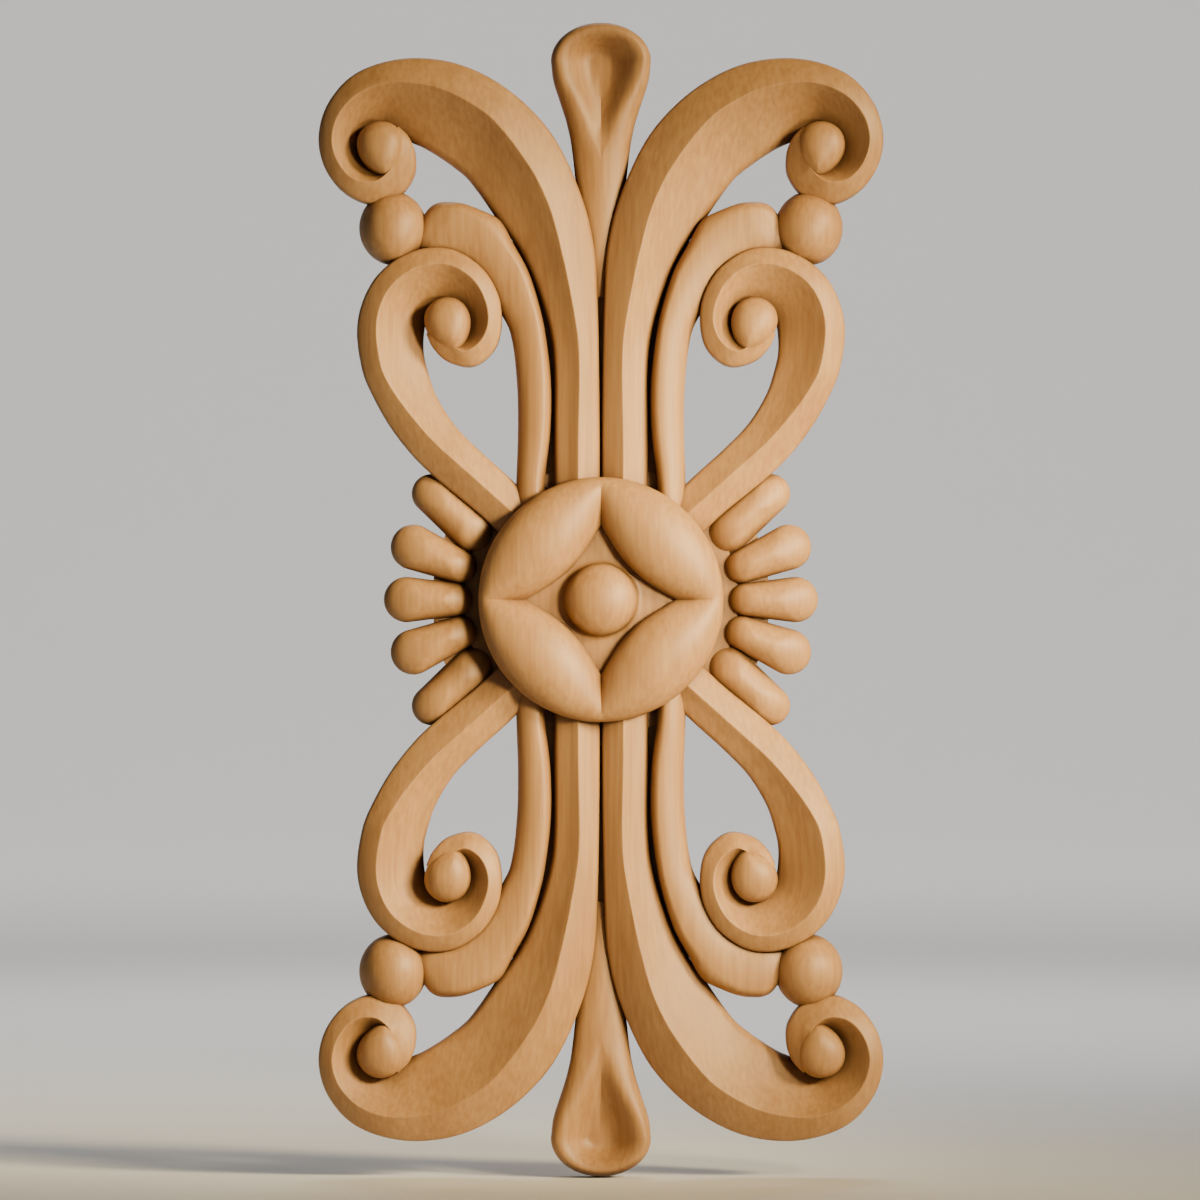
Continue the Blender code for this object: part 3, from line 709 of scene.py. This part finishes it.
def finial_side():
    """One side of the finial's outline, with the spine point and the shares of each corner."""
    side = []
    knots = [row[0] for row in FINIAL_SIDE]
    for height, half_width, crest, *shares in smooth_values(FINIAL_SIDE, knots, FINIAL_STEPS):
        rim_place = crest if crest > FINIAL_SHUT else 0.0
        side.append(((half_width, height), (0.0, height), rim_place, shares))
    base_height, half_width, crest, *shares = FINIAL_SIDE[-1]
    for index in range(1, FINIAL_TIP_STEPS + 1):
        angle = QUARTER_TURN * index / FINIAL_TIP_STEPS
        corner = (
            half_width * math.cos(angle),
            base_height + (FINIAL_TIP - base_height) * math.sin(angle),
        )
        side.append((corner, (0.0, base_height), crest, shares))
    return side


print("one side of the finial has", len(finial_side()), "corners")

# %% The finial
FINIAL_CREST_DEPTH = 0.0102
FINIAL_SKIRT_SHARE = 0.86
FINIAL_VALLEY = 0.62
FINIAL_DISH = 0.78
FINIAL_OUTSIDE = 7
FINIAL_INSIDE = 12


def hollow_fall(t, opening):
    """How far the hollow has fallen part of the way from the rim to the middle line."""
    soft = max(opening ** 3, 1.0 - (opening / FINIAL_VALLEY) ** 2)
    reach = min(1.0, t / blend(1.0, FINIAL_DISH, opening))
    return blend(t * t * (2.0 - t), (1.0 - math.cos(math.pi * reach)) / 2, soft)


def make_finial():
    """The hollow spoon on the middle line."""
    right = finial_side()
    left = [((-corner[0], corner[1]), *rest) for corner, *rest in right[-2::-1]]
    layers = [[] for _ in range(2 + FINIAL_OUTSIDE + FINIAL_INSIDE)]
    for corner, middle, crest, (crest_share, edge_share, floor_share) in right + left:
        opening = crest / FINIAL_SIDE[-1][2]
        crest_depth = FINIAL_CREST_DEPTH * crest_share
        floor_depth = FINIAL_CREST_DEPTH * floor_share if crest else crest_depth
        skirt_depth = FINIAL_CREST_DEPTH * edge_share * FINIAL_SKIRT_SHARE
        edge, centre = place(corner), place(middle)
        rim = between(centre, edge, crest)
        layers[0].append(at(edge, 0.0))
        layers[1].append(at(edge, skirt_depth))
        for step in range(1, FINIAL_OUTSIDE + 1):
            turn = QUARTER_TURN * step / FINIAL_OUTSIDE
            point = between(edge, rim, 1.0 - math.cos(turn))
            layers[1 + step].append(at(point, blend(skirt_depth, crest_depth, math.sin(turn))))
        for step in range(1, FINIAL_INSIDE + 1):
            t = step / FINIAL_INSIDE
            depth = blend(crest_depth, floor_depth, hollow_fall(t, opening))
            layers[1 + FINIAL_OUTSIDE + step].append(at(between(rim, centre, t), depth))
    return skin("finial", layers, run_together=True)


finial = make_finial()
print("the finial has", face_count([finial]), "faces")

# %% The wood between the tall scrolls
SPINE_HALF_WIDTH = 15.0
SPINE_TOP = 340.0
SPINE_DEPTH = 0.0055

spine_width, spine_top = share(SPINE_HALF_WIDTH), share(SPINE_TOP)
spine_outline = (
    (-spine_width, -spine_top), (spine_width, -spine_top),
    (spine_width, spine_top), (-spine_width, spine_top),
)
middle_spine = slab("middle_spine", spine_outline, SPINE_DEPTH)
print("the wood between the scrolls is %.1f mm thick" % (SPINE_DEPTH * 1000))

# %% [markdown]
# ## The rosette
#
# The rosette is turned and then carved: four pillowed petals meet in creases on the
# upright and level lines, and leave a sunk diamond with hollow sides, in which a
# round bead stands. A Screw modifier would make it all round, petals too. So rings
# about the middle describe it: each ring takes its radius and its height from the
# angle at which it is read.

# %% Petals and diamond
DIAMOND_WAIST = 0.0112
DIAMOND_POINT = 0.0195
CREASE_AT_RIM = 0.58
CREASE_AT_POINT = 0.12
RIM_DEPTH = 0.0125
FIELD_SINK = 0.0012
FIELD_DEPTH = RIM_DEPTH - FIELD_SINK
PETAL_RISE = solid_high.y - solid_low.y - RIM_DEPTH
ROSETTE_SIDES = 160
PETAL_RINGS = 22


def diamond_radius(angle):
    """Distance from the middle to the hollowed side of the diamond at an angle."""
    lean = (abs(math.cos(angle)) + abs(math.sin(angle)) - 1.0) / (math.sqrt(2.0) - 1.0)
    return 1.0 / blend(1.0 / DIAMOND_POINT, 1.0 / DIAMOND_WAIST, lean)


def petal_fullness(angle, inward):
    """How full a petal stands: 1 on its long middle, least at the crease."""
    crease = blend(CREASE_AT_RIM, CREASE_AT_POINT, inward)
    off_middle = (angle % QUARTER_TURN) / math.radians(45.0) - 1.0
    return math.sqrt(max(0.0, 1.0 - (1.0 - crease ** 2) * off_middle ** 2))


def round_ring(radius, depth):
    """A level ring of corners about the middle."""
    return [at(polar(MIDDLE, radius, angle), depth) for angle in rosette_angles]


rosette_angles = round_angles(ROSETTE_SIDES)
rosette_rings = [round_ring(ROSETTE_RADIUS, 0.0)]
for ring in range(PETAL_RINGS + 1):
    turn = math.pi * ring / PETAL_RINGS
    inward = (1.0 - math.cos(turn)) / 2
    corners = []
    for angle in rosette_angles:
        radius = blend(ROSETTE_RADIUS, diamond_radius(angle), inward)
        rise = PETAL_RISE * petal_fullness(angle, inward) * math.sin(turn)
        corners.append(at(polar(MIDDLE, radius, angle), RIM_DEPTH + rise))
    rosette_rings.append(corners)
rosette_rings.append([
    at(polar(MIDDLE, diamond_radius(angle), angle), FIELD_DEPTH) for angle in rosette_angles
])
print("a petal rises %.1f mm above the rim" % (PETAL_RISE * 1000))

# %% Bead
BEAD_RADIUS = 0.0094
BEAD_RISE = 0.0078
BEAD_FILLET = 0.0014
BEAD_FILLET_STEPS = 4
BEAD_RINGS = 14

for step in range(BEAD_FILLET_STEPS + 1):
    turn = QUARTER_TURN * step / BEAD_FILLET_STEPS
    radius = BEAD_RADIUS + BEAD_FILLET * (1.0 - math.sin(turn))
    rosette_rings.append(round_ring(radius, FIELD_DEPTH + BEAD_FILLET * (1.0 - math.cos(turn))))
for ring in range(1, BEAD_RINGS + 1):
    climb = QUARTER_TURN * ring / BEAD_RINGS
    radius = BEAD_RADIUS * math.cos(climb) if ring < BEAD_RINGS else 0.0
    depth = FIELD_DEPTH + BEAD_FILLET + (BEAD_RISE - BEAD_FILLET) * math.sin(climb)
    rosette_rings.append(round_ring(radius, depth))
carving = skin("carved_onlay", rosette_rings, run_together=True)
print("the rosette has", face_count([carving]), "faces")

# %% [markdown]
# ## One piece of wood
#
# The drawing is mirrored across the upright and the level middle lines, and every
# form is then joined to the rosette with a Boolean union. The forms could also be left
# overlapping, and would look much the same, but the union takes away all the faces
# that would lie hidden inside the wood, so that what is left is one skin.

# %% Mirror
LEFT_AND_RIGHT = ((1, 1), (-1, 1))
UP_AND_DOWN = ((1, 1), (1, -1))
FOUR_QUARTERS = ((1, 1), (-1, 1), (1, -1), (-1, -1))


def mirrored(item, sides):
    """The form itself and its mirrored copies, as objects of their own."""
    copies = []
    for across_x, across_z in sides:
        if (across_x, across_z) == (1, 1):
            copies.append(item)
            continue
        mesh = item.data.copy()
        for corner in mesh.vertices:
            corner.co.x *= across_x
            corner.co.z *= across_z
        if across_x * across_z < 0:
            mesh.flip_normals()
        copy = bpy.data.objects.new(item.name + "_mirrored", mesh)
        carved_forms.objects.link(copy)
        copies.append(copy)
    return copies


quarter_forms = (
    *big_scroll, *small_scroll, big_eye, small_eye, leaf, groove_floor, ball, *lobes[1:],
)
parts = []
for item in quarter_forms:
    parts.extend(mirrored(item, FOUR_QUARTERS))
for item in (lobes[0], fan_plate):
    parts.extend(mirrored(item, LEFT_AND_RIGHT))
parts.extend(mirrored(finial, UP_AND_DOWN))
parts.extend([middle_spine, base_disc])
print(len(parts), "forms are joined to the rosette")

# %% Join
for part in parts:
    union = carving.modifiers.new("Join " + part.name, "BOOLEAN")
    union.operation = "UNION"
    union.solver = "MANIFOLD"
    union.object = part
depsgraph = bpy.context.evaluated_depsgraph_get()
joined = bpy.data.meshes.new_from_object(carving.evaluated_get(depsgraph))
carving.modifiers.clear()
carving.data = joined
joined.name = "carved_onlay"
carved_forms.objects.unlink(carving)
bpy.context.scene.collection.objects.link(carving)
for item in list(carved_forms.objects):
    bpy.data.objects.remove(item, do_unlink=True)
bpy.data.collections.remove(carved_forms)
print("joined carving:", len(joined.polygons), "faces,", len(joined.vertices), "corners")

# %% [markdown]
# ## Clean the skin
#
# A union leaves slivers where two forms cross: edges and faces much thinner than a
# hair, which would catch the light as specks. Dissolving them keeps the shape, where
# a remesh would blunt every crest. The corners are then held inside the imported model's
# box, so that the finished onlay has exactly its size. Edges that turn sharply stay
# crisp and all others are shaded smooth.

# %% Dissolve slivers, hold to size and shade
SLIVER_LENGTH = 0.000008
SHARP_ANGLE = math.radians(30.0)

builder = bmesh.new()
builder.from_mesh(joined)
bmesh.ops.dissolve_degenerate(builder, edges=builder.edges, dist=SLIVER_LENGTH)
bmesh.ops.triangulate(builder, faces=builder.faces)
for corner in builder.verts:
    for axis in range(3):
        corner.co[axis] = min(max(corner.co[axis], solid_low[axis]), solid_high[axis])
face_counts = [len(edge.link_faces) for edge in builder.edges]
open_edges = sum(count < 2 for count in face_counts)
crowded_edges = sum(count > 2 for count in face_counts)
builder.to_mesh(joined)
builder.free()
joined.shade_smooth()
joined.set_sharp_from_angle(angle=SHARP_ANGLE)
print("finished carving:", len(joined.polygons), "triangles")
print(open_edges, "open edges, and", crowded_edges, "edges with more than two faces")

# %% [markdown]
# ## The wood
#
# The onlay is carved from a pale, close-grained hardwood and sanded smooth, so its
# colour is a warm tan with faint grain that runs up the height. A photograph of wood
# would have seams where it wraps round the forms. Noise fills the whole block as real
# grain does: stretched along the height, a fine one gives the fibres and a coarse one
# the broad colour bands.

# %% Wood: colour of fibres and bands
FIBRE_SCALE = (900.0, 900.0, 40.0)
FIBRE_DETAIL = 6.0
FIBRE_DARK = (0.30, (0.36, 0.18, 0.066))
FIBRE_LIGHT = (0.70, (0.46, 0.25, 0.10))
BAND_SCALE = (70.0, 70.0, 7.0)
BAND_DETAIL = 3.0
BAND_DARK = (0.35, (0.86, 0.82, 0.78))
BAND_CLEAR = (0.62, (1.0, 1.0, 1.0))

wood = bpy.data.materials.new("carved_wood")
wood.use_nodes = True
nodes, links = wood.node_tree.nodes, wood.node_tree.links
shader = nodes["Principled BSDF"]
coordinates = nodes.new("ShaderNodeTexCoord")


def grain(scale, detail):
    """Noise that is stretched up the height, as a grey value."""
    mapping = nodes.new("ShaderNodeMapping")
    mapping.inputs["Scale"].default_value = scale
    links.new(coordinates.outputs["Object"], mapping.inputs["Vector"])
    noise = nodes.new("ShaderNodeTexNoise")
    noise.inputs["Scale"].default_value = 1.0
    noise.inputs["Detail"].default_value = detail
    links.new(mapping.outputs["Vector"], noise.inputs["Vector"])
    return noise.outputs["Fac"]


def ramp(source, *stops):
    """Turn a grey value into a colour between two stops, each a place and a colour."""
    tone = nodes.new("ShaderNodeValToRGB")
    for element, (position, colour) in zip(tone.color_ramp.elements, stops):
        element.position = position
        element.color = (*colour, 1.0)
    links.new(source, tone.inputs["Fac"])
    return tone.outputs["Color"]


fibre = grain(FIBRE_SCALE, FIBRE_DETAIL)
fibre_colour = ramp(fibre, FIBRE_DARK, FIBRE_LIGHT)
band_colour = ramp(grain(BAND_SCALE, BAND_DETAIL), BAND_DARK, BAND_CLEAR)
print("the grain is", FIBRE_SCALE[0] / FIBRE_SCALE[2], "times longer than wide")

# %% [markdown]
# ## Gloss and painted shade
#
# Sanded fibres stand a few hundredths of a millimetre apart in height, and the dense
# ones take more polish than the open ones. So the fibres also drive the roughness and
# a very slight bump. Corners that lie deep in the carving get painted shade: Ambient
# Occlusion finds those places on any shape, and the wood's colour is darkened there.

# %% Wood: gloss, relief and painted shade
GLOSS_RANGE = (0.42, 0.60)
RELIEF_STRENGTH = 0.25
RELIEF_HEIGHT = 0.00006
HOLLOW_SAMPLES = 8
HOLLOW_REACH = 0.009
# Painted shade: the colours that darken the wood in the carving's hollows.
HOLLOW_SHADE_DARK = (0.12, (0.22, 0.17, 0.13))
HOLLOW_SHADE_CLEAR = (0.78, (1.0, 1.0, 1.0))
# The places of the two colours and of the result among a Mix node's sockets.
MIX_FIRST, MIX_SECOND, MIX_RESULT = 6, 7, 2

gloss = nodes.new("ShaderNodeMapRange")
gloss.inputs["To Min"].default_value, gloss.inputs["To Max"].default_value = GLOSS_RANGE
links.new(fibre, gloss.inputs["Value"])
links.new(gloss.outputs["Result"], shader.inputs["Roughness"])
relief = nodes.new("ShaderNodeBump")
relief.inputs["Strength"].default_value = RELIEF_STRENGTH
relief.inputs["Distance"].default_value = RELIEF_HEIGHT
links.new(fibre, relief.inputs["Height"])
links.new(relief.outputs["Normal"], shader.inputs["Normal"])
# Ambient Occlusion marks where the painted shade darkens the hollows.
hollow_shade_mask = nodes.new("ShaderNodeAmbientOcclusion")
hollow_shade_mask.samples = HOLLOW_SAMPLES
hollow_shade_mask.inputs["Distance"].default_value = HOLLOW_REACH
painted_hollow_shade = ramp(hollow_shade_mask.outputs["AO"], HOLLOW_SHADE_DARK, HOLLOW_SHADE_CLEAR)


def multiplied(first, second):
    """The product of two colours."""
    product = nodes.new("ShaderNodeMix")
    product.data_type = "RGBA"
    product.blend_type = "MULTIPLY"
    product.inputs["Factor"].default_value = 1.0
    links.new(first, product.inputs[MIX_FIRST])
    links.new(second, product.inputs[MIX_SECOND])
    return product.outputs[MIX_RESULT]


# The grain's colour, with the painted shade multiplied in where the carving is hollow.
wood_with_painted_shade = multiplied(multiplied(fibre_colour, band_colour), painted_hollow_shade)
links.new(wood_with_painted_shade, shader.inputs["Base Color"])
carving.data.materials.clear()
carving.data.materials.append(wood)
print("the wood has", len(nodes), "nodes")

# %% [markdown]
# ## Take the plain solid's place
#
# The carving rides on the onlay's one body, replaces the plain solid of the packed
# model, and its material has a slot name that says what it is made of.

# %% Hand the carving over
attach(carving, "root")
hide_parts("scroll_onlay")
print("the carving takes the place of scroll_onlay")

# %% [markdown]
# ## The studio floor
#
# A roll of pale paper lies under the onlay and sweeps up all round to a wall, so that
# no line shows where the floor ends. A flat plane would leave the world's dark edge in
# the pictures that are taken from lower down or from behind.

# %% Floor
FLOOR_GAP = 0.0003
FLOOR_MIDDLE = 0.5
FLOOR_FLAT = 3.3
FLOOR_RIM = 0.1
SWEEP_RADIUS = 1.6
SWEEP_STEPS = 12
WALL_TOP = 3.2
FLOOR_SIDES = 96

floor_level = solid_low.z - FLOOR_GAP


def floor_ring(radius, height):
    """One ring of corners of the round floor."""
    return [
        (radius * math.cos(turn), radius * math.sin(turn), floor_level + height)
        for turn in round_angles(FLOOR_SIDES)
    ]


floor_rings = [floor_ring(FLOOR_MIDDLE, 0.0), floor_ring(FLOOR_FLAT - FLOOR_RIM, 0.0)]
for step in range(SWEEP_STEPS + 1):
    turn = QUARTER_TURN * step / SWEEP_STEPS
    floor_rings.append(floor_ring(
        FLOOR_FLAT + SWEEP_RADIUS * math.sin(turn),
        SWEEP_RADIUS * (1.0 - math.cos(turn)),
    ))
floor_rings.append(floor_ring(FLOOR_FLAT + SWEEP_RADIUS, WALL_TOP))
floor_builder = bmesh.new()
rows = [[floor_builder.verts.new(corner) for corner in ring] for ring in floor_rings]
floor_builder.faces.new(rows[0])
for lower, upper in zip(rows, rows[1:]):
    for index in range(FLOOR_SIDES):
        following = (index + 1) % FLOOR_SIDES
        floor_builder.faces.new((lower[index], upper[index], upper[following], lower[following]))
floor_mesh = bpy.data.meshes.new("studio_floor")
floor_builder.to_mesh(floor_mesh)
floor_builder.free()
floor_mesh.shade_smooth()
studio_floor = bpy.data.objects.new("studio_floor", floor_mesh)
bpy.context.scene.collection.objects.link(studio_floor)
print("the floor is %.1f m wide" % (2 * (FLOOR_FLAT + SWEEP_RADIUS)))

# %% Paper
PAPER_COLOUR = (0.78, 0.77, 0.755, 1.0)
PAPER_ROUGHNESS = 0.9

paper = bpy.data.materials.new("pale_paper")
paper.use_nodes = True
paper_shader = paper.node_tree.nodes["Principled BSDF"]
paper_shader.inputs["Base Color"].default_value = PAPER_COLOUR
paper_shader.inputs["Roughness"].default_value = PAPER_ROUGHNESS
studio_floor.data.materials.append(paper)
print("the paper is", paper.name)

# %% [markdown]
# ## The lights
#
# As in the photograph, the onlay is lit from the right. A warm soft spot stands far
# out and a little above, and a small one close in front grazes the relief, so that
# every bevel turns from light to shade. A weak cool panel on the left opens the
# shadows. The other lights shine on the paper behind the onlay. One large panel over
# everything would be quicker, but it would brighten paper and carving alike and
# flatten the relief.

# %% Lights
ONLAY_MIDDLE = (0.0, 0.0, 0.0)
# Name, place, what it looks at, watts, cone in degrees, radius, colour.
SPOTS = (
    ("key_light", (1.25, -0.92, 0.58), ONLAY_MIDDLE, 290.0, 21.0, 0.22, (1.0, 0.82, 0.46)),
    ("near_light", (0.20, -0.30, 0.05), ONLAY_MIDDLE, 11.0, 56.0, 0.04, (1.0, 0.84, 0.50)),
    ("floor_light", (0.0, 0.78, 1.30), (0.0, 0.781, 0.0), 50.0, 62.0, 0.20, (1.0, 0.98, 0.95)),
)
# Name, place, what it looks at, watts, width, colour.
PANELS = (
    ("fill_light", (-0.60, -0.50, 0.40), ONLAY_MIDDLE, 0.15, 0.3, (0.85, 0.90, 1.0)),
    ("backdrop_light", (0.0, 2.4, 2.6), (0.0, 4.0, 0.0), 76.0, 1.6, (1.0, 0.99, 0.97)),
    ("overhead_light", (0.0, 0.9, 2.7), (0.0, 0.901, 0.0), 2.5, 3.0, (0.94, 0.97, 1.0)),
)
SPOT_SOFT_EDGE = 1.0


def hang_light(data, location, target, power, colour):
    """Put a light in its place, turn it to a point and set its power and colour."""
    data.energy = power
    data.color = colour
    item = bpy.data.objects.new(data.name, data)
    item.location = location
    item.rotation_euler = (Vector(target) - Vector(location)).to_track_quat("-Z", "Y").to_euler()
    bpy.context.scene.collection.objects.link(item)


for name, location, target, power, cone, radius, colour in SPOTS:
    light = bpy.data.lights.new(name, "SPOT")
    light.spot_size = math.radians(cone)
    light.spot_blend = SPOT_SOFT_EDGE
    light.shadow_soft_size = radius
    hang_light(light, location, target, power, colour)
for name, location, target, power, width, colour in PANELS:
    light = bpy.data.lights.new(name, "AREA")
    light.size = width
    hang_light(light, location, target, power, colour)
print(len(SPOTS), "spots and", len(PANELS), "panels light the scene")

# %% Air
AIR_COLOUR = (0.95, 0.95, 1.0, 1.0)
AIR_STRENGTH = 0.01

world = bpy.data.worlds.new("studio_air")
world.use_nodes = True
world.node_tree.nodes["Background"].inputs["Color"].default_value = AIR_COLOUR
world.node_tree.nodes["Background"].inputs["Strength"].default_value = AIR_STRENGTH
bpy.context.scene.world = world
print("the air's own light has a strength of", AIR_STRENGTH)

# %% [markdown]
# ## The camera
#
# A long lens far away shows the onlay almost without perspective, as its drawing does.
# The distance follows from the share of the picture's width that the onlay's height
# would take up, so the onlay keeps its size in the picture whatever the lens.

# %% Camera
LENS = 280.0
SENSOR = 36.0
PICTURE_WIDTH = 1200.0
ONLAY_IN_PICTURE = 1153.4
SIDE_SHIFT = -0.8
UP_SHIFT = -0.35
FRONT_PLANE = 0.006
FARTHEST_VIEW = 50.0

framed_width = HEIGHT * PICTURE_WIDTH / ONLAY_IN_PICTURE
camera_distance = FRONT_PLANE + framed_width * LENS / SENSOR
camera_data = bpy.data.cameras.new("front_camera")
camera_data.lens = LENS
camera_data.sensor_width = SENSOR
camera_data.clip_end = FARTHEST_VIEW
camera = bpy.data.objects.new("front_camera", camera_data)
camera.location = (share(SIDE_SHIFT), -camera_distance, share(UP_SHIFT))
camera.rotation_euler = (QUARTER_TURN, 0.0, 0.0)
bpy.context.scene.collection.objects.link(camera)
bpy.context.scene.camera = camera
print("the camera stands %.2f m in front" % camera_distance)
